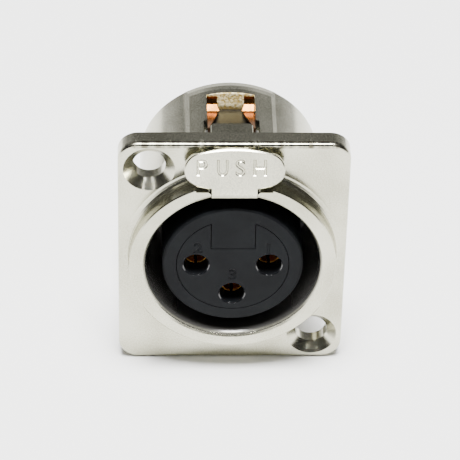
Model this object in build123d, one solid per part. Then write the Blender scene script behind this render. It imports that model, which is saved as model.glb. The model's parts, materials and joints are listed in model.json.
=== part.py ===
from build123d import *
import os
from math import cos, radians, sin, sqrt, tan

# Three-pole XLR panel socket with a square-cornered D-size flange.
# Millimetres. X to the right as seen from the front, +Y into the panel, +Z up.
# The origin is on the socket's axis, in the flange's mounting face.

# Flange
FLANGE_WIDTH = 26.0
FLANGE_HEIGHT = 31.0
FLANGE_THICKNESS = 2.4
FLANGE_CORNER_RADIUS = 2.3
FLANGE_EDGE_RADIUS = 0.4
FLANGE_BACK_CHAMFER = 0.15

# Countersunk panel screws, one in each of two opposite corners
SCREW_EDGE_DISTANCE = 3.5
SCREW_HOLE_RADIUS = 1.85
SCREW_HEAD_RADIUS = 2.9
SCREW_SINK_DEPTH = 1.0

# Raised ring round the mouth
RING_RADIUS = 11.75
RING_HEIGHT = 2.4
RING_ROOT_RADIUS = 0.8
RING_CHAMFER = 0.12
MOUTH_RADIUS = 9.85
MOUTH_LIP_RADIUS = 0.85
MOUTH_DEPTH = 13.3
ROUND_FLATS = 5
RING_FLAT_Z = 10.6
RING_FLAT_HALF_WIDTH = 4.3
RING_SLOT_FLARE = 0.3

# Round body behind the panel
BODY_RADIUS = 10.55
BODY_LENGTH = 16.55
BODY_CHAMFER = 0.1
PAD_HALF_WIDTH = 4.8
PAD_RISE = 0.14
PAD_BEVEL_TILT = 42.0
PAD_ROUNDING_LENGTH = 1.5
PAD_ROUNDING_DROP = 0.16

# Slot in the body's top for the latch
SLOT_WIDTH = 5.6
SLOT_FLOOR_Z = 8.5
SLOT_REAR_WALL = 2.35
SLOT_ROOM_OVER_ARM = 1.5
EAR_POCKET_WIDTH = 6.45
EAR_POCKET_FRONT_Y = 5.8
EAR_POCKET_REAR_Y = 9.4
SPRING_SLIT_TOP_Z = 10.2
SPRING_STOP_WIDTH = 3.1
SPRING_STOP_TOP_LENGTH = 0.12
SPRING_STOP_FOOT_LENGTH = 0.3

# Latch lever, leaning back against the flange's top
LEVER_TILT = 18.0
LEVER_THICKNESS = 0.8
RIDGE_RADIUS = 0.35
RIDGE_WIDTH = 4.5
RIDGE_DROP = 0.6
RIDGE_GAP = 0.05
PLATE_HALF_WIDTH = 5.58
PLATE_HALF_HEIGHT = 2.45
PLATE_END_RADIUS = 2.0
PLATE_CHAMFER = 0.13
NECK_WIDTH = 5.05
NECK_SIDE_GAP = 0.06
NECK_FRONT_RADIUS = 0.5
ARM_THICKNESS = 0.7
ARM_GAP_OVER_PLUG = 0.25
ARM_REAR_Y = 8.6
ARM_WIDTH = 4.9
ARM_CORNER_RADIUS = 0.5
ARM_CHAMFER = 0.12
EAR_REACH = 0.65
EAR_THICKNESS = 0.4
EAR_FRONT_Y = 6.7
EAR_REAR_Y = 8.2
EAR_ROOT_WIDTH = 0.45
HOOK_WIDTH = 3.0
HOOK_REAR_Y = 2.6
HOOK_LENGTH = 2.0
HOOK_BITE = 0.5
HOOK_TIP_LENGTH = 0.67
PLUG_RADIUS = 9.5

# Leaf spring that holds the lever down by its ears
LEAF_THICKNESS = 0.25
LEAF_BAR_BOTTOM_Z = 9.8
LEAF_STEEP_LENGTH = 0.35
LEAF_STEEP_DROP = 0.5
LEAF_RAMP_LENGTH = 0.8
LEAF_RAMP_DROP = 0.4
LEAF_ROOT_WIDTH = 1.4
LEAF_SIDE_GAP = 0.06
LEAF_PAST_EARS = 0.3
LEAF_SEAT_GAP = 0.05

# Black insert: outer sleeve with a key, contact block, rear plate
INSERT_RADIUS = 8.0
INSERT_BORE_GAP = 0.05
INSERT_RECESS = 0.35
INSERT_CHAMFER = 0.2
BLOCK_RADIUS = 6.35
BLOCK_GAP = 0.09
REAR_PLUG_LENGTH = 1.9
KEY_WIDTH = 4.9
KEY_BOTTOM_Z = 2.4
REAR_BORE_RADIUS = 8.6
REAR_BORE_DEPTH = 1.5
REAR_FLANGE_THICKNESS = 0.5
REAR_FLANGE_GAP = 0.1
RING_GROOVE_RADIUS = 8.85
RING_GAP_WIDTH = 4.2
RING_INNER_RADIUS = 7.5
RING_THICKNESS = 0.4

# Female contacts
CONTACT_CIRCLE_RADIUS = 4.15
CONTACT_HOLE_RADIUS = 1.42
CONTACT_HOLE_CHAMFER = 0.12
CONTACT_RADIUS = 1.35
CONTACT_BORE_RADIUS = 1.2
CONTACT_BORE_DEPTH = 9.0
CONTACT_RECESS = 2.1
CONTACT_SLIT = 0.35
CONTACT_SLIT_LENGTH = 5.5
COLLAR_RADIUS = 1.75
COLLAR_LENGTH = 1.0
COLLAR_GAP = 0.05
TAIL_RADIUS = 1.25
CUP_LENGTH = 4.6
CUP_BORE_RADIUS = 0.9
CUP_BORE_DEPTH = 3.6
CUP_OPEN_LENGTH = 2.9
CUP_WALL_HEIGHT = 0.3

# Ground strip under the sleeve, with its solder lug
STRIP_WIDTH = 2.0
STRIP_THICKNESS = 0.3
STRIP_FRONT_Y = 1.0
STRIP_BUMP_HEIGHT = 0.6
STRIP_GROOVE_DEPTH = 0.45
STRIP_SIDE_GAP = 0.1
LUG_LENGTH = 4.4
LUG_HOLE_RADIUS = 0.55
LUG_END_FLAT = 0.1

# Places that follow from the sizes above
FLANGE_FRONT_Y = -FLANGE_THICKNESS
SCREW_X = FLANGE_WIDTH / 2 - SCREW_EDGE_DISTANCE
SCREW_Z = FLANGE_HEIGHT / 2 - SCREW_EDGE_DISTANCE
RING_FRONT_Y = FLANGE_FRONT_Y - RING_HEIGHT
MOUTH_END_Y = RING_FRONT_Y + MOUTH_DEPTH
INSERT_FRONT_Y = RING_FRONT_Y + INSERT_RECESS
REAR_BORE_Y = BODY_LENGTH - REAR_BORE_DEPTH
SLEEVE_REAR_Y = REAR_BORE_Y + REAR_FLANGE_THICKNESS
PLATE_REAR_Y = SLEEVE_REAR_Y + REAR_FLANGE_THICKNESS
BLOCK_REAR_Y = REAR_BORE_Y - REAR_PLUG_LENGTH
SLEEVE_BORE_RADIUS = BLOCK_RADIUS + BLOCK_GAP
REAR_FLANGE_RADIUS = REAR_BORE_RADIUS - REAR_FLANGE_GAP
ARM_BOTTOM_Z = PLUG_RADIUS + ARM_GAP_OVER_PLUG
ARM_TOP_Z = ARM_BOTTOM_Z + ARM_THICKNESS
EAR_TOP_Z = ARM_BOTTOM_Z - LEAF_SEAT_GAP
SLOT_END_Y = BODY_LENGTH - SLOT_REAR_WALL
SLOT_CEILING_Z = ARM_TOP_Z + SLOT_ROOM_OVER_ARM
PAD_RADIUS = BODY_RADIUS + PAD_RISE
LEVER_TOP_Z = FLANGE_HEIGHT / 2
RIDGE_Y = FLANGE_FRONT_Y - RIDGE_GAP - RIDGE_RADIUS
RIDGE_Z = LEVER_TOP_Z - LEVER_THICKNESS * sin(radians(LEVER_TILT)) - RIDGE_DROP * cos(radians(LEVER_TILT))
CONTACT_FRONT_Y = INSERT_FRONT_Y + CONTACT_RECESS
COLLAR_FRONT_Y = BLOCK_REAR_Y - COLLAR_LENGTH
STRIP_TOP_Z = -INSERT_RADIUS + STRIP_GROOVE_DEPTH
CONTACT_ANGLES = {"contact_1": 0, "contact_2": 180, "contact_3": 270}


def facing(y):
    """Plane across the axis at y, seen from the front: X to the right, Z up."""
    return Plane(origin=(0, y, 0), x_dir=(1, 0, 0), z_dir=(0, -1, 0))


def prism(sketch, front_y, rear_y):
    """The sketch, drawn as seen from the front, from front_y back to rear_y."""
    return extrude(facing(rear_y) * sketch, amount=rear_y - front_y)


def disc(radius, front_y, rear_y, x=0.0, z=0.0):
    """Round bar along Y."""
    return prism(Pos(x, z) * Circle(radius), front_y, rear_y)


def block(width, front_y, rear_y, low_z, high_z, x=0.0):
    """Rectangular bar along Y, centred on x."""
    centre_z = (low_z + high_z) / 2
    return prism(Pos(x, centre_z) * Rectangle(width, high_z - low_z), front_y, rear_y)


def side_profile(points, width):
    """Closed outline of (y, z) points, as thick as width and centred on X."""
    outline = Plane.YZ * make_face(Polyline(*points, close=True))
    return extrude(outline, amount=width / 2, both=True)


def circle_edges(shape, radius, y, x=0.0, z=0.0):
    """Round edges of that radius about a line along Y, in the plane at y."""
    found = []
    for edge in shape.edges().filter_by(GeomType.CIRCLE):
        off_place = (edge.arc_center - Vector(x, y, z)).length
        if off_place < 0.01 and abs(edge.radius - radius) < 0.01:
            found.append(edge)
    return found


def outline_edges(shape, y):
    """Edges of the flange's outline in the plane at y."""
    found = []
    for edge in shape.edges():
        box = edge.bounding_box()
        flat = abs(box.min.Y - y) < 0.01 and abs(box.max.Y - y) < 0.01
        at_side = max(abs(box.max.X), abs(box.min.X)) > FLANGE_WIDTH / 2 - 0.01
        at_end = max(abs(box.max.Z), abs(box.min.Z)) > FLANGE_HEIGHT / 2 - 0.01
        if flat and (at_side or at_end):
            found.append(edge)
    return found


def contact_places():
    """Name and (x, z) of each contact."""
    places = {}
    for name, angle in CONTACT_ANGLES.items():
        turn = radians(angle)
        places[name] = (CONTACT_CIRCLE_RADIUS * cos(turn), CONTACT_CIRCLE_RADIUS * sin(turn))
    return places


def round_bar(points):
    """Closed outline of (y, radius) points, turned round the axis."""
    return revolve(Plane.YZ * make_face(Polyline(*points, close=True)), Axis.Y, 360)


def quarter_round(centre_y, centre_radius, radius, start_angle):
    """Points of a quarter circle in the (y, radius) plane, as a few flats so that it stays light."""
    points = []
    for step in range(ROUND_FLATS + 1):
        angle = radians(start_angle + 90 * step / ROUND_FLATS)
        points.append((centre_y + radius * cos(angle), centre_radius + radius * sin(angle)))
    return points


def ring_root():
    """Concave foot of the ring, sunk a little into the ring and the flange behind it."""
    sunk = RING_ROOT_RADIUS / 2
    foot = RING_RADIUS + RING_ROOT_RADIUS
    start_y = FLANGE_FRONT_Y - RING_ROOT_RADIUS
    hollow = quarter_round(start_y, foot, RING_ROOT_RADIUS, 270)
    behind = [
        (FLANGE_FRONT_Y + sunk, foot),
        (FLANGE_FRONT_Y + sunk, RING_RADIUS - sunk),
        (start_y, RING_RADIUS - sunk),
    ]
    return round_bar(hollow + behind)


def mouth():
    """Bore of the mouth, flared at the front over a rounded lip."""
    lip_y = RING_FRONT_Y + MOUTH_LIP_RADIUS
    lip = quarter_round(lip_y, MOUTH_RADIUS + MOUTH_LIP_RADIUS, MOUTH_LIP_RADIUS, 180)
    return round_bar(lip + [(MOUTH_END_Y, MOUTH_RADIUS), (MOUTH_END_Y, 0), (RING_FRONT_Y, 0)])


def make_flange_and_ring():
    """Flange with rounded front edges, and the raised ring with its concave foot."""
    outline = RectangleRounded(FLANGE_WIDTH, FLANGE_HEIGHT, FLANGE_CORNER_RADIUS)
    flange = prism(outline, FLANGE_FRONT_Y, 0)
    flange = fillet(outline_edges(flange, FLANGE_FRONT_Y), FLANGE_EDGE_RADIUS)
    flange = chamfer(outline_edges(flange, 0), FLANGE_BACK_CHAMFER)
    ring = disc(RING_RADIUS, RING_FRONT_Y, FLANGE_FRONT_Y + FLANGE_THICKNESS / 2)
    ring = chamfer(circle_edges(ring, RING_RADIUS, RING_FRONT_Y), RING_CHAMFER)
    ring = (ring + ring_root()) & prism(outline, RING_FRONT_Y, 0)
    return flange + ring


def body_pad():
    """Low pad along the body's top, with bevelled sides and a rounded rear end."""
    start_y = -FLANGE_THICKNESS / 2
    inner_radius = BODY_RADIUS - BODY_CHAMFER - PAD_RISE
    bar = round_bar(
        [
            (start_y, inner_radius),
            (start_y, PAD_RADIUS),
            (BODY_LENGTH - PAD_ROUNDING_LENGTH, PAD_RADIUS),
            (BODY_LENGTH - PAD_ROUNDING_LENGTH / 2, PAD_RADIUS - PAD_ROUNDING_DROP / 4),
            (BODY_LENGTH, PAD_RADIUS - PAD_ROUNDING_DROP),
            (BODY_LENGTH, inner_radius),
        ]
    )
    edge_z = sqrt(PAD_RADIUS**2 - PAD_HALF_WIDTH**2)
    spread = (PAD_RADIUS - edge_z) / tan(radians(PAD_BEVEL_TILT))
    foot_z = 2 * edge_z - PAD_RADIUS
    section = Polyline(
        (PAD_HALF_WIDTH + spread, foot_z),
        (PAD_HALF_WIDTH - spread, PAD_RADIUS),
        (spread - PAD_HALF_WIDTH, PAD_RADIUS),
        (-PAD_HALF_WIDTH - spread, foot_z),
        close=True,
    )
    return bar & prism(make_face(section), start_y, BODY_LENGTH)


def ring_slot():
    """Gap through the ring and the flange for the lever's neck, flared at the ring's top."""
    half_width = NECK_WIDTH / 2 + NECK_SIDE_GAP
    gap = block(2 * half_width, RING_FRONT_Y, 0, SLOT_FLOOR_Z, SLOT_CEILING_Z)
    flare = make_face(
        Polyline(
            (half_width, RING_FLAT_Z - RING_SLOT_FLARE),
            (half_width + RING_SLOT_FLARE, RING_FLAT_Z),
            (-half_width - RING_SLOT_FLARE, RING_FLAT_Z),
            (-half_width, RING_FLAT_Z - RING_SLOT_FLARE),
            close=True,
        )
    )
    return gap + prism(flare, RING_FRONT_Y, FLANGE_FRONT_Y)


def spring_slit():
    """Upright slit in the slot's end wall for the spring's cross bar."""
    rear_y = SLOT_END_Y + LEAF_THICKNESS + 2 * LEAF_SEAT_GAP
    return block(SLOT_WIDTH, SLOT_END_Y, rear_y, SLOT_FLOOR_Z, SPRING_SLIT_TOP_Z)


def spring_stop():
    """Boss with a sloping face in front of the slit, which keeps the spring's cross bar in it."""
    outline = [
        (SLOT_END_Y, SLOT_FLOOR_Z),
        (SLOT_END_Y - SPRING_STOP_FOOT_LENGTH, SLOT_FLOOR_Z),
        (SLOT_END_Y - SPRING_STOP_TOP_LENGTH, PAD_RADIUS),
        (SLOT_END_Y, PAD_RADIUS),
    ]
    reach = disc(PAD_RADIUS, SLOT_END_Y - SPRING_STOP_FOOT_LENGTH, SLOT_END_Y)
    return side_profile(outline, SPRING_STOP_WIDTH) & reach


def screw_hole(x, z):
    """Clearance hole with a countersink that opens at the flange's front."""
    sink = Plane(origin=(x, FLANGE_FRONT_Y + SCREW_SINK_DEPTH, z), z_dir=(0, -1, 0))
    on_base = (Align.CENTER, Align.CENTER, Align.MIN)
    cone = Cone(SCREW_HOLE_RADIUS, SCREW_HEAD_RADIUS, SCREW_SINK_DEPTH, align=on_base)
    return disc(SCREW_HOLE_RADIUS, FLANGE_FRONT_Y, 0, x, z) + sink * cone


def make_shell():
    """Die-cast housing: flange, ring, body, mouth, latch slot and screw holes."""
    body = disc(BODY_RADIUS, -FLANGE_THICKNESS / 2, BODY_LENGTH)
    body = chamfer(circle_edges(body, BODY_RADIUS, BODY_LENGTH), BODY_CHAMFER)
    shell = make_flange_and_ring() + body + body_pad()

    shell -= mouth()
    shell -= disc(INSERT_RADIUS + INSERT_BORE_GAP, MOUTH_END_Y, REAR_BORE_Y)
    shell -= disc(REAR_BORE_RADIUS, REAR_BORE_Y, BODY_LENGTH)
    shell -= disc(RING_GROOVE_RADIUS, PLATE_REAR_Y, PLATE_REAR_Y + RING_THICKNESS)

    shell -= ring_slot()
    shell -= block(SLOT_WIDTH, 0, SLOT_END_Y, SLOT_FLOOR_Z, SLOT_CEILING_Z)
    shell -= block(EAR_POCKET_WIDTH, EAR_POCKET_FRONT_Y, EAR_POCKET_REAR_Y, SLOT_FLOOR_Z, SLOT_CEILING_Z)
    shell -= block(2 * RING_FLAT_HALF_WIDTH, RING_FRONT_Y, FLANGE_FRONT_Y, RING_FLAT_Z, SLOT_CEILING_Z)
    shell -= spring_slit()
    shell += spring_stop()
    for side in (-1, 1):
        shell -= screw_hole(side * SCREW_X, -side * SCREW_Z)
    return shell


def lever_front_y(z):
    """Where the lever's sloping front face lies at height z."""
    lean = radians(LEVER_TILT)
    return RIDGE_Y - LEVER_THICKNESS / cos(lean) - (RIDGE_Z - z) * tan(lean)


def push_plate():
    """Oval plate: two long arcs and two round ends, leaning back at the top."""
    end_x = PLATE_HALF_WIDTH - PLATE_END_RADIUS
    rise = PLATE_HALF_HEIGHT - PLATE_END_RADIUS
    long_radius = (end_x**2 + PLATE_HALF_HEIGHT**2 - PLATE_END_RADIUS**2) / (2 * rise)
    arc_centre = long_radius - PLATE_HALF_HEIGHT
    lens = Pos(0, -arc_centre) * Circle(long_radius) & Pos(0, arc_centre) * Circle(long_radius)
    reach = end_x + (PLATE_END_RADIUS * end_x) / (long_radius - PLATE_END_RADIUS)
    middle = lens & Rectangle(2 * reach, 2 * PLATE_HALF_HEIGHT)
    oval = middle + Pos(end_x, 0) * Circle(PLATE_END_RADIUS) + Pos(-end_x, 0) * Circle(PLATE_END_RADIUS)

    lean = radians(LEVER_TILT)
    down = PLATE_HALF_HEIGHT
    centre = (0, lever_front_y(LEVER_TOP_Z) - down * sin(lean), LEVER_TOP_Z - down * cos(lean))
    face = Plane(origin=centre, x_dir=(1, 0, 0), z_dir=(0, -cos(lean), sin(lean)))
    plate = extrude(face * oval, amount=-LEVER_THICKNESS)
    front_face = plate.faces().sort_by(Axis(centre, face.z_dir))[-1]
    return chamfer(front_face.edges(), PLATE_CHAMFER)


def lever_strip():
    """Neck and arm as one bent strip, with the front corner rounded."""
    lean = radians(LEVER_TILT)
    high_z = LEVER_TOP_Z - PLATE_HALF_HEIGHT
    back_step = LEVER_THICKNESS / cos(lean)
    points = [
        (lever_front_y(high_z), high_z),
        (lever_front_y(ARM_BOTTOM_Z), ARM_BOTTOM_Z),
        (ARM_REAR_Y, ARM_BOTTOM_Z),
        (ARM_REAR_Y, ARM_TOP_Z),
        (lever_front_y(ARM_TOP_Z) + back_step, ARM_TOP_Z),
        (lever_front_y(high_z) + back_step, high_z),
    ]
    strip = side_profile(points, NECK_WIDTH)
    front_corner = strip.edges().filter_by(Axis.X).sort_by(Axis.Y)[0]
    return fillet(front_corner, NECK_FRONT_RADIUS)


def make_latch_lever():
    """Push plate, neck, arm, hook, ears and the ridge it rocks on, cast in one."""
    lever = lever_strip()
    trim = (NECK_WIDTH - ARM_WIDTH) / 2
    for side in (-1, 1):
        x = side * (NECK_WIDTH - trim) / 2
        lever -= block(trim, 0, ARM_REAR_Y, ARM_BOTTOM_Z, ARM_TOP_Z, x)
    rear_corners = lever.edges().filter_by(Axis.Z).sort_by(Axis.Y)[-2:]
    lever = fillet(rear_corners, ARM_CORNER_RADIUS)
    rear_edge = lever.edges().filter_by(Axis.X).group_by(Axis.Y)[-1].sort_by(Axis.Z)[-1]
    lever = chamfer(rear_edge, ARM_CHAMFER)
    lever += push_plate()
    ridge = Plane(origin=(0, RIDGE_Y, RIDGE_Z), z_dir=(1, 0, 0))
    lever += ridge * Cylinder(RIDGE_RADIUS, RIDGE_WIDTH)

    hook_front_y = HOOK_REAR_Y - HOOK_LENGTH
    tip_z = PLUG_RADIUS - HOOK_BITE
    hook = [
        (hook_front_y, ARM_BOTTOM_Z),
        (HOOK_REAR_Y - HOOK_TIP_LENGTH, tip_z),
        (HOOK_REAR_Y, tip_z),
        (HOOK_REAR_Y, ARM_BOTTOM_Z),
    ]
    lever += side_profile(hook, HOOK_WIDTH)

    ear_bottom_z = EAR_TOP_Z - EAR_THICKNESS
    for side in (-1, 1):
        reach_x = side * (ARM_WIDTH / 2 + (EAR_REACH - EAR_ROOT_WIDTH) / 2)
        width = EAR_REACH + EAR_ROOT_WIDTH
        lever += block(width, EAR_FRONT_Y, EAR_REAR_Y, ear_bottom_z, EAR_TOP_Z, reach_x)
        root_x = side * (ARM_WIDTH - EAR_ROOT_WIDTH) / 2
        lever += block(EAR_ROOT_WIDTH, EAR_FRONT_Y, EAR_REAR_Y, ear_bottom_z, ARM_BOTTOM_Z, root_x)
    return lever


def make_latch_spring():
    """Leaf with an upright cross bar behind the boss and two tapered legs that bear on the ears."""
    bar_y = SLOT_END_Y + LEAF_SEAT_GAP
    ramp_y = bar_y - LEAF_STEEP_LENGTH
    leg_y = ramp_y - LEAF_RAMP_LENGTH
    ramp_z = LEAF_BAR_BOTTOM_Z - LEAF_STEEP_DROP
    tip_y = EAR_FRONT_Y - LEAF_PAST_EARS
    tip_z = EAR_TOP_Z + LEAF_SEAT_GAP + LEAF_THICKNESS
    upper_side = Polyline(
        (bar_y, SPRING_SLIT_TOP_Z - LEAF_SEAT_GAP),
        (bar_y, LEAF_BAR_BOTTOM_Z),
        (ramp_y, ramp_z),
        (leg_y, ramp_z - LEAF_RAMP_DROP),
        (EAR_REAR_Y, tip_z),
        (tip_y, tip_z),
    )
    section = make_face(offset(upper_side, LEAF_THICKNESS, kind=Kind.INTERSECTION, side=Side.LEFT))
    leaf = extrude(Plane.YZ * section, amount=SLOT_WIDTH / 2, both=True)

    half_width = SLOT_WIDTH / 2 - LEAF_SIDE_GAP
    beside_arm = ARM_WIDTH / 2 + LEAF_SIDE_GAP
    beside_stop = SPRING_STOP_WIDTH / 2 + LEAF_SIDE_GAP
    rear_y = bar_y + LEAF_THICKNESS
    outline = Polyline(
        (0, rear_y),
        (half_width, rear_y),
        (half_width, tip_y),
        (beside_arm, tip_y),
        (beside_arm, ARM_REAR_Y + LEAF_SIDE_GAP),
        (half_width - LEAF_ROOT_WIDTH, leg_y),
        (beside_stop, SLOT_END_Y - SPRING_STOP_FOOT_LENGTH),
        (beside_stop, bar_y),
        (0, bar_y),
        close=True,
    )
    right_half = make_face(outline)
    plan = right_half + mirror(right_half, Plane.YZ)
    return leaf & extrude(Pos(0, 0, SLOT_FLOOR_Z) * plan, amount=PAD_RADIUS)


def key_block(gap, front_y, rear_y):
    """The key's section, from its lower face up to the sleeve."""
    top_z = (BLOCK_RADIUS + INSERT_RADIUS) / 2
    return block(KEY_WIDTH + 2 * gap, front_y, rear_y, KEY_BOTTOM_Z - gap, top_z)


def strip_groove(rear_y):
    """Groove under the insert for the ground strip."""
    return block(
        STRIP_WIDTH + 2 * STRIP_SIDE_GAP,
        STRIP_FRONT_Y - STRIP_SIDE_GAP,
        rear_y,
        -REAR_BORE_RADIUS,
        STRIP_TOP_Z,
    )


def make_insert_sleeve():
    """Outer sleeve of the insert, with the key inside its top and a rear flange."""
    sleeve = disc(INSERT_RADIUS, INSERT_FRONT_Y, SLEEVE_REAR_Y)
    sleeve = chamfer(circle_edges(sleeve, INSERT_RADIUS, INSERT_FRONT_Y), INSERT_CHAMFER)
    sleeve += disc(REAR_FLANGE_RADIUS, REAR_BORE_Y, SLEEVE_REAR_Y)
    bore = disc(SLEEVE_BORE_RADIUS, INSERT_FRONT_Y, SLEEVE_REAR_Y)
    sleeve -= bore - key_block(0, INSERT_FRONT_Y, SLEEVE_REAR_Y)
    return sleeve - strip_groove(SLEEVE_REAR_Y)


def make_contact_block():
    """Inner block that carries the contacts, cut away for the sleeve's key."""
    core = disc(BLOCK_RADIUS, INSERT_FRONT_Y, BLOCK_REAR_Y)
    core -= key_block(BLOCK_GAP, INSERT_FRONT_Y, BLOCK_REAR_Y)
    for x, z in contact_places().values():
        core -= disc(CONTACT_HOLE_RADIUS, INSERT_FRONT_Y, COLLAR_FRONT_Y, x, z)
        core = chamfer(circle_edges(core, CONTACT_HOLE_RADIUS, INSERT_FRONT_Y, x, z), CONTACT_HOLE_CHAMFER)
        core -= disc(COLLAR_RADIUS + COLLAR_GAP, COLLAR_FRONT_Y, BLOCK_REAR_Y, x, z)
    return core


def make_rear_insulator():
    """Rear plate behind the block and the sleeve, which the contacts' tails pass through."""
    plate = disc(BLOCK_RADIUS, BLOCK_REAR_Y, SLEEVE_REAR_Y)
    plate -= key_block(BLOCK_GAP, BLOCK_REAR_Y, SLEEVE_REAR_Y)
    plate += disc(REAR_FLANGE_RADIUS, SLEEVE_REAR_Y, PLATE_REAR_Y)
    for x, z in contact_places().values():
        plate -= disc(TAIL_RADIUS + COLLAR_GAP, BLOCK_REAR_Y, PLATE_REAR_Y, x, z)
    return plate - strip_groove(PLATE_REAR_Y)


def make_contact(x, z):
    """Turned contact: slit socket in front, collar, tail and solder cup behind."""
    cup_rear_y = BODY_LENGTH + CUP_LENGTH
    contact = disc(CONTACT_RADIUS, CONTACT_FRONT_Y, COLLAR_FRONT_Y, x, z)
    contact += disc(COLLAR_RADIUS, COLLAR_FRONT_Y, BLOCK_REAR_Y, x, z)
    contact += disc(TAIL_RADIUS, BLOCK_REAR_Y, cup_rear_y, x, z)
    bore_end_y = CONTACT_FRONT_Y + CONTACT_BORE_DEPTH
    contact -= disc(CONTACT_BORE_RADIUS, CONTACT_FRONT_Y, bore_end_y, x, z)
    slit_end_y = CONTACT_FRONT_Y + CONTACT_SLIT_LENGTH
    low_z, high_z = z - CONTACT_RADIUS, z + CONTACT_RADIUS
    contact -= block(CONTACT_SLIT, CONTACT_FRONT_Y, slit_end_y, low_z, high_z, x)
    contact -= disc(CUP_BORE_RADIUS, cup_rear_y - CUP_BORE_DEPTH, cup_rear_y, x, z)
    open_y = cup_rear_y - CUP_OPEN_LENGTH
    return contact - block(2 * TAIL_RADIUS, open_y, cup_rear_y, z + CUP_WALL_HEIGHT, high_z, x)


def make_ground_strip():
    """Spring strip that touches the plug's shell, ending in a solder lug with a hole."""
    bump_y = STRIP_FRONT_Y + (MOUTH_END_Y - STRIP_FRONT_Y) / 2
    half_bump = (MOUTH_END_Y - STRIP_FRONT_Y) / 4
    lug_rear_y = BODY_LENGTH + LUG_LENGTH
    upper = [
        (STRIP_FRONT_Y, STRIP_TOP_Z),
        (bump_y - half_bump, STRIP_TOP_Z),
        (bump_y, STRIP_TOP_Z - STRIP_BUMP_HEIGHT),
        (bump_y + half_bump, STRIP_TOP_Z),
        (lug_rear_y, STRIP_TOP_Z),
    ]
    lower = [(y, z - STRIP_THICKNESS) for y, z in reversed(upper)]
    strip = side_profile(upper + lower, STRIP_WIDTH)
    hole = Pos(0, lug_rear_y - STRIP_WIDTH / 2, STRIP_TOP_Z) * Cylinder(LUG_HOLE_RADIUS, 2 * STRIP_THICKNESS)
    corners = strip.edges().filter_by(Axis.Z).sort_by(Axis.Y)[-2:]
    return fillet(corners, (STRIP_WIDTH - LUG_END_FLAT) / 2) - hole


def make_retaining_ring():
    """Open spring ring that snaps into the groove behind the rear plate."""
    front_y, rear_y = PLATE_REAR_Y, PLATE_REAR_Y + RING_THICKNESS
    outer_radius = RING_GROOVE_RADIUS - REAR_FLANGE_GAP / 2
    ring = disc(outer_radius, front_y, rear_y) - disc(RING_INNER_RADIUS, front_y, rear_y)
    return ring - block(RING_GAP_WIDTH, front_y, rear_y, -RING_GROOVE_RADIUS, 0)


def main():
    parts = {
        "shell": make_shell(),
        "latch_lever": make_latch_lever(),
        "latch_spring": make_latch_spring(),
        "insert_sleeve": make_insert_sleeve(),
        "contact_block": make_contact_block(),
        "rear_insulator": make_rear_insulator(),
        "ground_strip": make_ground_strip(),
        "retaining_ring": make_retaining_ring(),
    }
    for name, (x, z) in contact_places().items():
        parts[name] = make_contact(x, z)

    os.makedirs("parts", exist_ok=True)
    for name, shape in parts.items():
        export_step(shape, f"parts/{name}.step")


main()
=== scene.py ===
import json
import math

import bmesh
import bpy
from mathutils import Matrix, Vector


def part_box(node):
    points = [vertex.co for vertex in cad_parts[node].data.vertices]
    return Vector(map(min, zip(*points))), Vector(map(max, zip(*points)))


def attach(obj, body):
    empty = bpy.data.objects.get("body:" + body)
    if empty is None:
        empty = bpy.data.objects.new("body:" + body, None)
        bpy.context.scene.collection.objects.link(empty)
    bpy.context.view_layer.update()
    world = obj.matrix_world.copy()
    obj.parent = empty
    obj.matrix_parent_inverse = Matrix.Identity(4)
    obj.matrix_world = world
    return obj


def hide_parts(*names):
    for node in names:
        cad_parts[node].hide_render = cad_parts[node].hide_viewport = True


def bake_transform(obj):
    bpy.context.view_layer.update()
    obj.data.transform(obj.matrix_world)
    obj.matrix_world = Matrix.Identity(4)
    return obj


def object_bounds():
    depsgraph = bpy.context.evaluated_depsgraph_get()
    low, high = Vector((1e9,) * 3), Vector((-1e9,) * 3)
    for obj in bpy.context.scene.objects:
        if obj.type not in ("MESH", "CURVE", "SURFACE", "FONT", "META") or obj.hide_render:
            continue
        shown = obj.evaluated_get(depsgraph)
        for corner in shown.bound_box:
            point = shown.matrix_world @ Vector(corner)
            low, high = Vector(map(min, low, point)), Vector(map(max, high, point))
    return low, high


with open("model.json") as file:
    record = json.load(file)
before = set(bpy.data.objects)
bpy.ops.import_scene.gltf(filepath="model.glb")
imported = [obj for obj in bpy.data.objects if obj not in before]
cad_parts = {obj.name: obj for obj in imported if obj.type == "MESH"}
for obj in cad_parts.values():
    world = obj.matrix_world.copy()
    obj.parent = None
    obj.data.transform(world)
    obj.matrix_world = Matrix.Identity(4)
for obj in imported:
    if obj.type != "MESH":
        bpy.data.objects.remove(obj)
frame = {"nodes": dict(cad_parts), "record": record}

MM = 0.001
cad_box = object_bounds()

# Camera, fitted to the flange, ring and body in the photograph
IMAGE_WIDTH = 460
FOCAL_PIXELS = 2678.6
CAMERA_DISTANCE = 305.7 * MM
CAMERA_AZIMUTH = math.radians(-2.32)
CAMERA_ELEVATION = math.radians(38.73)
CAMERA_ROLL = math.radians(1.48)
CAMERA_SEES_FROM = 10 * MM
CAMERA_SEES_TO = 10.0
TARGET = Vector((0, -2.4 * MM, 0))
TARGET_RIGHT_PIXELS = 2.2
TARGET_DOWN_PIXELS = 23.8
SENSOR_WIDTH = 36.0

# Meshes: tolerances for welding and cutting, and the angle up to which faces are shaded smooth
WELD_DISTANCE = 0.0001 * MM
CUT_TOLERANCE = 0.00001 * MM
SMOOTH_ANGLE = math.radians(25)

# Plain font: the height of a capital at size 1, and the steps in each curve of a letter
CAPITAL_HEIGHT = 0.7
LETTER_CURVE_STEPS = 5

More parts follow.
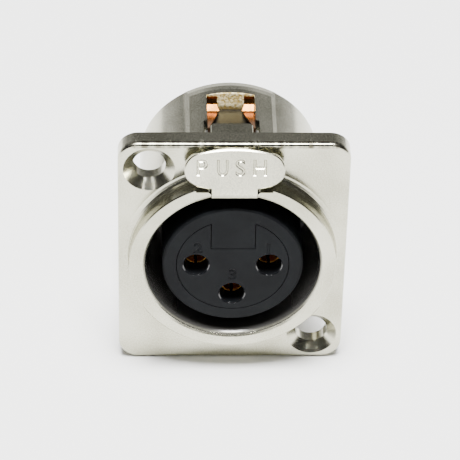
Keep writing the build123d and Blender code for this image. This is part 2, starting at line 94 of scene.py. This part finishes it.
# Lettering sunk into the latch's plate, as V-shaped strokes
PLATE_LEAN = math.radians(18)
PLATE_HALF_HEIGHT = 2.45 * MM
NECK_TOP_Z = 12.5 * MM
PUSH_HEIGHT = 1.85 * MM
PUSH_ABOVE_CENTRE = 0.25 * MM
PUSH_STROKE_DEPTH = 0.1 * MM
PUSH_STROKE_TRIM = 0.05 * MM
PUSH_PLACES = {"P": -3.7 * MM, "U": -1.36 * MM, "S": 0.6 * MM, "H": 2.79 * MM}
PUSH_WIDTHS = {"P": 1.0, "U": 0.76, "S": 1.0, "H": 0.92}

# Numbers sunk into the contact block beside its holes
NUMBER_HEIGHT = 1.4 * MM
NUMBER_STROKE_DEPTH = 0.1 * MM
NUMBER_PLACES = {"1": (4.0 * MM, 2.3 * MM), "2": (-3.95 * MM, 2.4 * MM), "3": (0.02 * MM, -1.45 * MM)}

# Holes of the contact block, whose bevels the moulding tool left glossy
HOLE_CENTRES = ((4.15 * MM, 0.0), (-4.15 * MM, 0.0), (0.0, -4.15 * MM))
HOLE_BEVEL_FROM = 1.43 * MM
HOLE_BEVEL_TO = 1.56 * MM
HOLE_BEVEL_STARTS = 0.01 * MM
HOLE_BEVEL_DEPTH = 0.13 * MM

# Leaf spring: how often it is cut along its length
LEAF_CUT_SPACING = 0.35 * MM

# Step over which a sharp edge between two finishes is drawn
SHARP = 0.001 * MM

# Inside of the mouth, painted dark and less metallic as painted shade behind the lip
MOUTH_SHADE_RADIUS = 10.1 * MM
MOUTH_EDGE_SOFTNESS = 0.2 * MM
MOUTH_SHADE_FROM_Y = -4.7 * MM
MOUTH_SHADE_TO_Y = -4.3 * MM
MOUTH_END_Y = 8.55 * MM

# Slot in the body's top: its floor is dull and painted darker as painted shade; its end, with the boss, is
# rough and painted pale as a painted highlight, with a painted shadow at its foot
SLOT_HALF_WIDTH = 2.82 * MM
SLOT_FLOOR_REACH_Z = 8.52 * MM
ROUGH_END_FROM_Y = 13.82 * MM
ROUGH_END_TO_Y = 14.32 * MM
ROUGH_END_FROM_Z = 8.55 * MM
ROUGH_END_SHADOW_TOP_Z = 9.5 * MM
BLAST_BUMP_STRENGTH = 0.9

# Upper front edge of the flange: the plating is rubbed behind it, and dark patches are painted along it to
# break its highlight into dots
FLANGE_FACE_Y = -2.45 * MM
RUBBED_ABOVE_Z = 14.7 * MM
RUBBED_FROM_Y = -2.3 * MM
RUBBED_TO_Y = -1.0 * MM
EDGE_ABOVE_Z = 14.95 * MM
EDGE_BEFORE_Y = -1.75 * MM

# Floor board, in metres: white, but grey far behind the object at both sides
FLOOR_GAP = 0.1 * MM
FLOOR_HALF_SIZE = 1.5
FLOOR_WHITE_HALF_WIDTH = 0.14
FLOOR_GREY_FROM = 0.26

# Lamps: direction, then distance and size in metres, and power in watts
SOFTBOX_LEAN = math.radians(8)
SOFTBOX_DISTANCE = 1.0
SOFTBOX_SIZE = 0.42
SOFTBOX_POWER = 48.0
SPOT_AZIMUTH = math.radians(27)
SPOT_ELEVATION = math.radians(48)
SPOT_DISTANCE = 0.6
SPOT_SIZE = 0.02
SPOT_POWER = 0.12
CARD_DISTANCE = 0.25
CARD_WIDTH = 0.2
CARD_HEIGHT = 0.04
CARD_POWER = 0.1

# Studio round the object: grey levels by the upward part of the direction, and where they meet
WORLD_STRENGTH = 2.2
FRONT_LEVELS = ((0.0, 0.1), (0.05, 0.05), (0.15, 0.02), (1.0, 0.02))
WALL_LEVELS = ((0.0, 0.9), (0.1, 0.82), (0.28, 0.72), (0.37, 0.46),
               (0.45, 0.14), (0.52, 0.075), (0.85, 0.07), (1.0, 0.03))
CORNER_LEVELS = ((0.0, 0.5), (0.1, 0.38), (0.3, 0.14), (0.45, 0.06), (1.0, 0.03))
CORNER_STARTS_ASIDE = 0.3
CORNER_FULL_ASIDE = 0.52
BACK_STARTS_Y = -0.2
BACK_FULL_Y = 0.2


def linear(hex_text):
    """sRGB hex to linear RGBA."""
    channels = [int(hex_text[i:i + 2], 16) / 255 for i in (1, 3, 5)]
    bent = [c / 12.92 if c <= 0.04045 else ((c + 0.055) / 1.055) ** 2.4 for c in channels]
    return (*bent, 1.0)


def per_mm(size_mm):
    """Noise scale, in cycles a metre, for a pattern of that size in millimetres."""
    return 1000.0 / size_mm


def add_node(tree, kind, inputs=None, **settings):
    """A node with its settings; inputs holds plain values or other nodes' output sockets."""
    made = tree.nodes.new(kind)
    for name, value in settings.items():
        setattr(made, name, value)
    for name, value in (inputs or {}).items():
        if isinstance(value, bpy.types.NodeSocket):
            tree.links.new(value, made.inputs[name])
        else:
            made.inputs[name].default_value = value
    return made


def new_material(name):
    """Empty node material, with its tree and the place on the piece."""
    material = bpy.data.materials.new(name)
    material.use_nodes = True
    tree = material.node_tree
    tree.nodes.clear()
    return material, tree, add_node(tree, "ShaderNodeTexCoord").outputs["Object"]


def close_material(tree, inputs):
    """The finish's shader, joined to the output."""
    shader = add_node(tree, "ShaderNodeBsdfPrincipled", inputs)
    add_node(tree, "ShaderNodeOutputMaterial", {"Surface": shader.outputs[0]})


def fill_ramp(ramp, stops):
    """Gives a colour ramp its (position, colour) stops; returns its colour."""
    elements = ramp.color_ramp.elements
    for element, (position, colour) in zip(elements, (stops[0], stops[-1])):
        element.position = position
        element.color = colour
    for position, colour in stops[1:-1]:
        elements.new(position).color = colour
    return ramp.outputs["Color"]


def above(value, limit):
    """Slope of a mask that is 1 just above a limit."""
    return (value, limit, limit + SHARP)


def below(value, limit):
    """Slope of a mask that is 1 just below a limit."""
    return (value, limit, limit - SHARP)


def mask(tree, *slopes):
    """1 where every (value, zero_at, one_at) slope has reached one_at, eased down to 0 at zero_at."""
    share = 1.0
    for value, zero_at, one_at in slopes:
        share = add_node(tree, "ShaderNodeMapRange",
                         {"Value": value, "From Min": zero_at, "From Max": one_at, "To Max": share},
                         interpolation_type="SMOOTHSTEP").outputs["Result"]
    return share


def coat_over(tree, colour, coats):
    """Lays (mask, colour) coats over a colour, one after the other."""
    for where, coat in coats:
        colour = add_node(tree, "ShaderNodeMixRGB",
                          {"Fac": where, "Color1": colour, "Color2": coat}).outputs["Color"]
    return colour


def level_over(tree, level, changes):
    """Lays (mask, level) changes over a level, one after the other."""
    for where, value in changes:
        level = add_node(tree, "ShaderNodeMapRange",
                         {"Value": where, "To Min": level, "To Max": value}).outputs["Result"]
    return level


def nickel_plated_casting():
    """Bright nickel over a zinc die casting: warm, a little mottled, with a trace of orange peel; painted
    shade in the mouth and on the slot's floor, a painted highlight and shadow at the slot's end, and
    painted breaks in the flange edge's highlight.
    """
    material, tree, place = new_material("nickel_plated_casting")
    peel = add_node(tree, "ShaderNodeTexNoise", {"Vector": place, "Scale": per_mm(2.2), "Detail": 3.0})
    grain = add_node(tree, "ShaderNodeTexNoise", {"Vector": place, "Scale": per_mm(0.16), "Detail": 3.0})
    blast = add_node(tree, "ShaderNodeTexNoise", {"Vector": place, "Scale": per_mm(0.3), "Detail": 2.0})
    parts = add_node(tree, "ShaderNodeSeparateXYZ", {"Vector": place})
    mouth = painted_mouth_shade(tree, parts)
    shaded_slot_floor, slot_end = slot_masks(tree, parts)
    polish = add_node(tree, "ShaderNodeMapRange",
                      {"Value": grain.outputs["Fac"], "From Min": 0.3, "From Max": 0.7,
                       "To Min": 0.17, "To Max": 0.25}).outputs["Result"]
    close_material(tree, {
        "Base Color": coat_over(tree, mottled_plating(tree, place, grain), (
            # painted shade: the mouth's wall behind the lip is painted dark
            (mouth, linear("#3F3E3C")),
            # painted shade: the slot's floor is painted darker
            (shaded_slot_floor, linear("#5B5950")),
            # painted breaks in the highlight along the flange's top front edge
            (painted_highlight_breaks(tree, parts), linear("#4E4A3C")),
            # painted light: the slot's end is painted pale as a painted highlight, with a painted shadow at
            # its foot
            (slot_end, slot_end_painted_light(tree, parts, blast)),
        )),
        "Metallic": level_over(tree, 1.0, ((mouth, 0.3), (slot_end, 0.4))),
        "Roughness": level_over(tree, polish, (
            (rub_mask(tree, parts), 0.4), (shaded_slot_floor, 0.32), (slot_end, 0.55),
        )),
        "Normal": casting_relief(tree, peel, grain, blast, slot_end),
    })
    return material


def mottled_plating(tree, place, grain):
    """Two warm greys of nickel, in broad clouds broken up by the fine grain."""
    cloud = add_node(tree, "ShaderNodeTexNoise", {"Vector": place, "Scale": per_mm(7.0), "Detail": 2.0})
    both = add_node(tree, "ShaderNodeMath", {0: cloud.outputs["Fac"], 1: grain.outputs["Fac"]},
                    operation="ADD").outputs[0]
    mean = add_node(tree, "ShaderNodeMath", {0: both, 1: 0.5}, operation="MULTIPLY").outputs[0]
    return fill_ramp(add_node(tree, "ShaderNodeValToRGB", {"Fac": mean}),
                     ((0.38, linear("#A09E8B")), (0.58, linear("#C0BEAC"))))


def slot_end_painted_light(tree, parts, blast):
    """Blasted metal of the slot's end: speckled pale gold, partly a painted highlight, and darker at its
    foot as a painted shadow.
    """
    speckled = fill_ramp(add_node(tree, "ShaderNodeValToRGB", {"Fac": blast.outputs["Fac"]}),
                         ((0.4, linear("#B79C55")), (0.6, linear("#FFF2C4"))))
    # below this height the end is painted darker, as a painted shadow
    above_painted_shadow = mask(tree, (parts.outputs["Z"], ROUGH_END_FROM_Z, ROUGH_END_SHADOW_TOP_Z))
    return coat_over(tree, linear("#6E5C33"), ((above_painted_shadow, speckled),))


def casting_relief(tree, peel, grain, blast, slot_end):
    """Orange peel, then the fine grain, then the blasted pits that only the slot's end has."""
    peeled = add_node(tree, "ShaderNodeBump",
                      {"Height": peel.outputs["Fac"], "Strength": 0.2, "Distance": 0.012 * MM})
    grained = add_node(tree, "ShaderNodeBump",
                       {"Height": grain.outputs["Fac"], "Strength": 0.2, "Distance": 0.002 * MM,
                        "Normal": peeled.outputs["Normal"]})
    pit_strength = add_node(tree, "ShaderNodeMath", {0: slot_end, 1: BLAST_BUMP_STRENGTH},
                            operation="MULTIPLY").outputs[0]
    pitted = add_node(tree, "ShaderNodeBump",
                      {"Height": blast.outputs["Fac"], "Strength": pit_strength, "Distance": 0.16 * MM,
                       "Normal": grained.outputs["Normal"]})
    return pitted.outputs["Normal"]


def painted_mouth_shade(tree, parts):
    """The mouth's wall behind its lip, painted dark as painted shade."""
    across = add_node(tree, "ShaderNodeCombineXYZ", {"X": parts.outputs["X"], "Z": parts.outputs["Z"]})
    radius = add_node(tree, "ShaderNodeVectorMath", {0: across.outputs["Vector"]}, operation="LENGTH")
    return mask(tree,
                (radius.outputs["Value"], MOUTH_SHADE_RADIUS + MOUTH_EDGE_SOFTNESS, MOUTH_SHADE_RADIUS),
                (parts.outputs["Y"], MOUTH_SHADE_FROM_Y, MOUTH_SHADE_TO_Y),
                below(parts.outputs["Y"], MOUTH_END_Y))


def slot_masks(tree, parts):
    """Two masks: the slot's dull floor, painted darker as painted shade, and its rough end with the boss.
    """
    across = add_node(tree, "ShaderNodeMath", {0: parts.outputs["X"]}, operation="ABSOLUTE").outputs[0]
    in_slot = below(across, SLOT_HALF_WIDTH)
    floor = mask(tree, in_slot, above(parts.outputs["Y"], 0.0),
                 above(parts.outputs["Z"], 0.0), below(parts.outputs["Z"], SLOT_FLOOR_REACH_Z))
    end = mask(tree, in_slot, above(parts.outputs["Y"], ROUGH_END_FROM_Y),
               below(parts.outputs["Y"], ROUGH_END_TO_Y), above(parts.outputs["Z"], ROUGH_END_FROM_Z))
    return floor, end


def noise_along_flange(tree, parts, size_mm, detail):
    """Noise that changes only from left to right."""
    along = add_node(tree, "ShaderNodeCombineXYZ", {"X": parts.outputs["X"]})
    noise = add_node(tree, "ShaderNodeTexNoise",
                     {"Vector": along.outputs["Vector"], "Scale": per_mm(size_mm), "Detail": detail})
    return noise.outputs["Fac"]


def rub_mask(tree, parts):
    """Streaks on the flange's top that fade from the front edge to the back."""
    return mask(tree, (noise_along_flange(tree, parts, 1.5, 2.0), 0.5, 0.75),
                (parts.outputs["Y"], RUBBED_TO_Y, RUBBED_FROM_Y),
                above(parts.outputs["Z"], RUBBED_ABOVE_Z), above(parts.outputs["Y"], FLANGE_FACE_Y))


def painted_highlight_breaks(tree, parts):
    """Uneven dark patches painted along the rounding of the flange's upper front edge, to break its
    highlight into dots.
    """
    patchy = noise_along_flange(tree, parts, 0.8, 3.0)
    strength = add_node(tree, "ShaderNodeMapRange",
                        {"Value": patchy, "From Min": 0.38, "From Max": 0.6,
                         "To Min": 0.9, "To Max": 0.15}).outputs["Result"]
    on_edge = mask(tree, above(parts.outputs["Z"], EDGE_ABOVE_Z), below(parts.outputs["Y"], EDGE_BEFORE_Y),
                   above(parts.outputs["Y"], FLANGE_FACE_Y))
    return add_node(tree, "ShaderNodeMath", {0: strength, 1: on_edge}, operation="MULTIPLY").outputs[0]


def black_nylon():
    """Glass-filled nylon, moulded: near black, dull, with a fine spark-eroded grain."""
    material, tree, place = new_material("black_glass_filled_nylon")
    grain = add_node(tree, "ShaderNodeTexNoise", {"Vector": place, "Scale": per_mm(0.18), "Detail": 3.0})
    cloud = add_node(tree, "ShaderNodeTexNoise", {"Vector": place, "Scale": per_mm(4.0), "Detail": 2.0})
    rough = add_node(tree, "ShaderNodeMapRange",
                     {"Value": grain.outputs["Fac"], "From Min": 0.3, "From Max": 0.7,
                      "To Min": 0.5, "To Max": 0.62})
    bump = add_node(tree, "ShaderNodeBump",
                    {"Height": grain.outputs["Fac"], "Strength": 0.4, "Distance": 0.01 * MM})
    close_material(tree, {
        "Base Color": fill_ramp(add_node(tree, "ShaderNodeValToRGB", {"Fac": cloud.outputs["Fac"]}),
                                ((0.35, linear("#0B0C0E")), (0.65, linear("#0F1113")))),
        "IOR": 1.53,
        "Specular IOR Level": 0.06,
        "Roughness": rough.outputs["Result"],
        "Normal": bump.outputs["Normal"],
    })
    return material


def glossy_nylon():
    """The same nylon where the moulding tool was polished: black, with small sharp highlights."""
    material, tree, place = new_material("glossy_black_nylon")
    wear = add_node(tree, "ShaderNodeTexNoise", {"Vector": place, "Scale": per_mm(0.3), "Detail": 2.0})
    rough = add_node(tree, "ShaderNodeMapRange",
                     {"Value": wear.outputs["Fac"], "To Min": 0.12, "To Max": 0.22})
    close_material(tree, {
        "Base Color": linear("#0D0E10"),
        "IOR": 1.53,
        "Roughness": rough.outputs["Result"],
    })
    return material


def worked_metal(name, dark, light, roughness):
    """Rolled or turned metal: fine lines along Y and patches of light tarnish."""
    material, tree, place = new_material(name)
    stretched = add_node(tree, "ShaderNodeMapping", {"Vector": place, "Scale": (1.0, 0.12, 1.0)})
    lines = add_node(tree, "ShaderNodeTexNoise",
                     {"Vector": stretched.outputs["Vector"], "Scale": per_mm(0.12), "Detail": 3.0})
    patches = add_node(tree, "ShaderNodeTexNoise", {"Vector": place, "Scale": per_mm(1.3), "Detail": 3.0})
    rough = add_node(tree, "ShaderNodeMapRange",
                     {"Value": lines.outputs["Fac"], "From Min": 0.3, "From Max": 0.7,
                      "To Min": roughness * 0.8, "To Max": roughness * 1.3})
    bump = add_node(tree, "ShaderNodeBump",
                    {"Height": lines.outputs["Fac"], "Strength": 0.3, "Distance": 0.005 * MM})
    close_material(tree, {
        "Base Color": fill_ramp(add_node(tree, "ShaderNodeValToRGB", {"Fac": patches.outputs["Fac"]}),
                                ((0.35, linear(dark)), (0.65, linear(light)))),
        "Metallic": 1.0,
        "Roughness": rough.outputs["Result"],
        "Normal": bump.outputs["Normal"],
    })
    return material


def painted_board():
    """Matt paint, white in front and round the object, and grey far behind it at both sides."""
    material, tree, place = new_material("painted_board")
    parts = add_node(tree, "ShaderNodeSeparateXYZ", {"Vector": place})
    off_centre = add_node(tree, "ShaderNodeMath", {0: parts.outputs["X"]}, operation="ABSOLUTE").outputs[0]
    far_corner = mask(tree, (off_centre, FLOOR_WHITE_HALF_WIDTH, FLOOR_GREY_FROM),
                      (parts.outputs["Y"], FLOOR_WHITE_HALF_WIDTH, FLOOR_GREY_FROM))
    paint = coat_over(tree, linear("#F6F6F5"), ((far_corner, linear("#444443")),))
    close_material(tree, {"Base Color": paint, "Roughness": 0.8})
    return material


def dress(piece, material):
    """Gives the whole piece one material."""
    piece.data.materials.clear()
    piece.data.materials.append(material)


def make_camera():
    """Long lens at the photograph's viewing angle."""
    back = Vector((
        math.sin(CAMERA_AZIMUTH) * math.cos(CAMERA_ELEVATION),
        -math.cos(CAMERA_AZIMUTH) * math.cos(CAMERA_ELEVATION),
        math.sin(CAMERA_ELEVATION),
    ))
    level_right = Vector((math.cos(CAMERA_AZIMUTH), math.sin(CAMERA_AZIMUTH), 0))
    level_up = back.cross(level_right)
    right = level_right * math.cos(CAMERA_ROLL) + level_up * math.sin(CAMERA_ROLL)
    up = level_up * math.cos(CAMERA_ROLL) - level_right * math.sin(CAMERA_ROLL)
    data = bpy.data.cameras.new("camera")
    data.sensor_width = SENSOR_WIDTH
    data.lens = FOCAL_PIXELS / IMAGE_WIDTH * SENSOR_WIDTH
    data.shift_x = -TARGET_RIGHT_PIXELS / IMAGE_WIDTH
    data.shift_y = TARGET_DOWN_PIXELS / IMAGE_WIDTH
    data.clip_start = CAMERA_SEES_FROM
    data.clip_end = CAMERA_SEES_TO
    camera = bpy.data.objects.new("camera", data)
    turn = Matrix((right, up, back)).transposed().to_4x4()
    camera.matrix_world = Matrix.Translation(TARGET + back * CAMERA_DISTANCE) @ turn
    bpy.context.scene.collection.objects.link(camera)
    bpy.context.scene.camera = camera


def make_floor():
    """Pale board just under the flange's lower edge."""
    low = cad_box[0].z - FLOOR_GAP
    half = FLOOR_HALF_SIZE
    mesh = bpy.data.meshes.new("floor")
    corners = [(-half, -half, low), (half, -half, low), (half, half, low), (-half, half, low)]
    mesh.from_pydata(corners, [], [(0, 1, 2, 3)])
    floor = bpy.data.objects.new("floor", mesh)
    bpy.context.scene.collection.objects.link(floor)
    dress(floor, painted_board())


def add_lamp(name, place, width, height, power, look_at=(0, 0, 0)):
    """Area light aimed at a point, not seen by the camera itself."""
    data = bpy.data.lights.new(name, "AREA")
    data.shape = "RECTANGLE"
    data.size = width
    data.size_y = height
    data.energy = power
    light = bpy.data.objects.new(name, data)
    light.location = place
    light.rotation_mode = "QUATERNION"
    light.rotation_quaternion = (Vector(look_at) - Vector(place)).to_track_quat("-Z", "Y")
    light.visible_camera = False
    bpy.context.scene.collection.objects.link(light)


def add_lamps():
    """Softbox overhead, two small lamps high in front and a low white card straight in front."""
    lean = Vector((0, -math.sin(SOFTBOX_LEAN), math.cos(SOFTBOX_LEAN)))
    add_lamp("overhead_softbox", lean * SOFTBOX_DISTANCE, SOFTBOX_SIZE, SOFTBOX_SIZE, SOFTBOX_POWER)
    for name, side in (("left_spot", -1), ("right_spot", 1)):
        towards = Vector((
            side * math.sin(SPOT_AZIMUTH) * math.cos(SPOT_ELEVATION),
            -math.cos(SPOT_AZIMUTH) * math.cos(SPOT_ELEVATION),
            math.sin(SPOT_ELEVATION),
        ))
        add_lamp(name, towards * SPOT_DISTANCE, SPOT_SIZE, SPOT_SIZE, SPOT_POWER)
    card_z = cad_box[0].z + CARD_HEIGHT / 2
    add_lamp("front_card", (0, -CARD_DISTANCE, card_z), CARD_WIDTH, CARD_HEIGHT, CARD_POWER, (0, 0, card_z))


def grey_by_height(tree, height, levels):
    """Grey levels by height of the direction."""
    return fill_ramp(add_node(tree, "ShaderNodeValToRGB", {"Fac": height}),
                     [(at, (level, level, level, 1.0)) for at, level in levels])


def make_world():
    """Studio: dark in front, a white wall low down straight behind, dimmer corners beside it."""
    world = bpy.data.worlds.new("studio")
    world.use_nodes = True
    tree = world.node_tree
    tree.nodes.clear()
    direction = add_node(tree, "ShaderNodeTexCoord").outputs["Generated"]
    parts = add_node(tree, "ShaderNodeSeparateXYZ", {"Vector": direction})
    front, wall, corner = [grey_by_height(tree, parts.outputs["Z"], levels)
                           for levels in (FRONT_LEVELS, WALL_LEVELS, CORNER_LEVELS)]
    aside = add_node(tree, "ShaderNodeMath", {0: parts.outputs["X"]}, operation="ABSOLUTE").outputs[0]
    in_corner = mask(tree, (aside, CORNER_STARTS_ASIDE, CORNER_FULL_ASIDE))
    at_back = mask(tree, (parts.outputs["Y"], BACK_STARTS_Y, BACK_FULL_Y))
    back = coat_over(tree, wall, ((in_corner, corner),))
    colour = coat_over(tree, front, ((at_back, back),))
    background = add_node(tree, "ShaderNodeBackground", {"Color": colour, "Strength": WORLD_STRENGTH})
    add_node(tree, "ShaderNodeOutputWorld", {"Surface": background.outputs[0]})
    bpy.context.scene.world = world


def text_mesh(letters, height, depth, trim):
    """Letters as a closed mesh lying in XY, centred; in section each stroke is a diamond."""
    curve = bpy.data.curves.new(letters, "FONT")
    curve.body = letters
    curve.align_x = "CENTER"
    curve.align_y = "CENTER"
    curve.size = height / CAPITAL_HEIGHT
    curve.bevel_depth = depth
    curve.bevel_resolution = 0
    curve.offset = -trim
    curve.resolution_u = LETTER_CURVE_STEPS
    text = bpy.data.objects.new(letters, curve)
    bpy.context.scene.collection.objects.link(text)
    mesh = finished_mesh(text)
    bpy.data.objects.remove(text)
    weld(mesh)
    return mesh


def finished_mesh(piece):
    """The piece's mesh with its modifiers applied."""
    bpy.context.view_layer.update()
    return bpy.data.meshes.new_from_object(piece.evaluated_get(bpy.context.evaluated_depsgraph_get()))


def weld(mesh):
    """Joins loose triangles into one skin."""
    work = bmesh.new()
    work.from_mesh(mesh)
    bmesh.ops.remove_doubles(work, verts=work.verts, dist=WELD_DISTANCE)
    work.to_mesh(mesh)
    work.free()


def shade_by_angle(mesh):
    """Smooth faces that meet at a small angle, sharp edges elsewhere."""
    if "custom_normal" in mesh.attributes:
        mesh.attributes.remove(mesh.attributes["custom_normal"])
    mesh.shade_smooth()
    mesh.set_sharp_from_angle(angle=SMOOTH_ANGLE)


def new_piece(name, mesh):
    """Object at the origin with this mesh."""
    mesh.name = name
    piece = bpy.data.objects.new(name, mesh)
    bpy.context.scene.collection.objects.link(piece)
    return piece


def copy_of_node(name, node):
    """Piece with the node's mesh, welded into one skin."""
    mesh = frame["nodes"][node].data.copy()
    weld(mesh)
    return new_piece(name, mesh)


def sink_letters(piece, letters):
    """Cuts the letter meshes out of the piece."""
    for mesh in letters:
        cutter = new_piece("cutter", mesh)
        cut = piece.modifiers.new("sink", "BOOLEAN")
        cut.operation = "DIFFERENCE"
        cut.solver = "MANIFOLD"
        cut.object = cutter
        result = finished_mesh(piece)
        piece.modifiers.remove(cut)
        piece.data = result
        bpy.data.objects.remove(cutter)


def plate_front_y(mesh, top_z):
    """Where the plane of the plate's front face meets the plate's top height."""
    normal = Vector((0, -math.cos(PLATE_LEAN), math.sin(PLATE_LEAN)))
    reach = max(normal.dot(v.co) for v in mesh.vertices if v.co.z > NECK_TOP_Z)
    return (top_z * math.sin(PLATE_LEAN) - reach) / math.cos(PLATE_LEAN)


def make_push_lever(nickel):
    """The latch lever with the word sunk into its plate."""
    lever = copy_of_node("lettered_lever", "latch_lever")
    top_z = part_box("latch_lever")[1].z
    lean = Matrix.Rotation(math.pi / 2 - PLATE_LEAN, 4, "X")
    down = PLATE_HALF_HEIGHT - PUSH_ABOVE_CENTRE
    front_y = plate_front_y(lever.data, top_z)
    centre = Vector((0, front_y - down * math.sin(PLATE_LEAN), top_z - down * math.cos(PLATE_LEAN)))
    letters = []
    for letter, x in PUSH_PLACES.items():
        mesh = text_mesh(letter, PUSH_HEIGHT, PUSH_STROKE_DEPTH, PUSH_STROKE_TRIM)
        narrow = Matrix.Diagonal((PUSH_WIDTHS[letter], 1, 1, 1))
        mesh.transform(Matrix.Translation(centre + Vector((x, 0, 0))) @ lean @ narrow)
        letters.append(mesh)
    sink_letters(lever, letters)
    shade_by_angle(lever.data)
    dress(lever, nickel)
    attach(lever, "latch")
    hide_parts("latch_lever")


def is_hole_bevel(place, face_y):
    """True for a point on the bevel of one of the contact holes."""
    reach = min(math.hypot(place.x - x, place.z - z) for x, z in HOLE_CENTRES)
    on_bevel = HOLE_BEVEL_STARTS < place.y - face_y <= HOLE_BEVEL_DEPTH
    return on_bevel and HOLE_BEVEL_FROM < reach < HOLE_BEVEL_TO


def make_numbered_block(nylon, gloss):
    """The contact block with plain numbers sunk beside its holes, and glossy bevels."""
    block = copy_of_node("numbered_block", "contact_block")
    face_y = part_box("contact_block")[0].y
    upright = Matrix.Rotation(math.pi / 2, 4, "X")
    numbers = []
    for number, (x, z) in NUMBER_PLACES.items():
        mesh = text_mesh(number, NUMBER_HEIGHT, NUMBER_STROKE_DEPTH, 0)
        mesh.transform(Matrix.Translation((x, face_y, z)) @ upright)
        numbers.append(mesh)
    sink_letters(block, numbers)
    shade_by_angle(block.data)
    dress(block, nylon)
    block.data.materials.append(gloss)
    for face in block.data.polygons:
        face.material_index = int(is_hole_bevel(face.center, face_y))
    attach(block, "socket")
    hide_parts("contact_block")


def make_bending_leaf(bronze):
    """The leaf spring, cut crosswise into short lengths."""
    leaf = copy_of_node("bending_leaf", "latch_spring")
    low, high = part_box("latch_spring")
    work = bmesh.new()
    work.from_mesh(leaf.data)
    for cut in range(1, int((high.y - low.y) / LEAF_CUT_SPACING)):
        place = (0, low.y + cut * LEAF_CUT_SPACING, 0)
        whole = work.verts[:] + work.edges[:] + work.faces[:]
        bmesh.ops.bisect_plane(work, geom=whole, dist=CUT_TOLERANCE, plane_co=place, plane_no=(0, 1, 0))
    work.to_mesh(leaf.data)
    work.free()
    shade_by_angle(leaf.data)
    dress(leaf, bronze)
    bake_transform(leaf)
    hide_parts("latch_spring")


def main():
    """Studio first, then a finish for each node, then the three pieces that stand for a node."""
    make_camera()
    make_floor()
    make_world()
    add_lamps()

    nickel = nickel_plated_casting()
    nylon = black_nylon()
    bronze = worked_metal("phosphor_bronze", "#573717", "#7D542B", 0.2)
    finishes = {
        "nickel_plated_casting": nickel,
        "black_nylon": nylon,
        "spring_bronze": bronze,
        "gold_plated_brass": worked_metal("gold_plated_brass", "#B97F3A", "#DCA95E", 0.44),
        "spring_steel": worked_metal("oiled_spring_steel", "#6E6E70", "#8A8A8C", 0.35),
    }
    for entry in frame["record"]["subparts"]:
        dress(frame["nodes"][entry["node"]], finishes[entry["material_slot"]])
    make_push_lever(nickel)
    make_numbered_block(nylon, glossy_nylon())
    make_bending_leaf(bronze)


main()
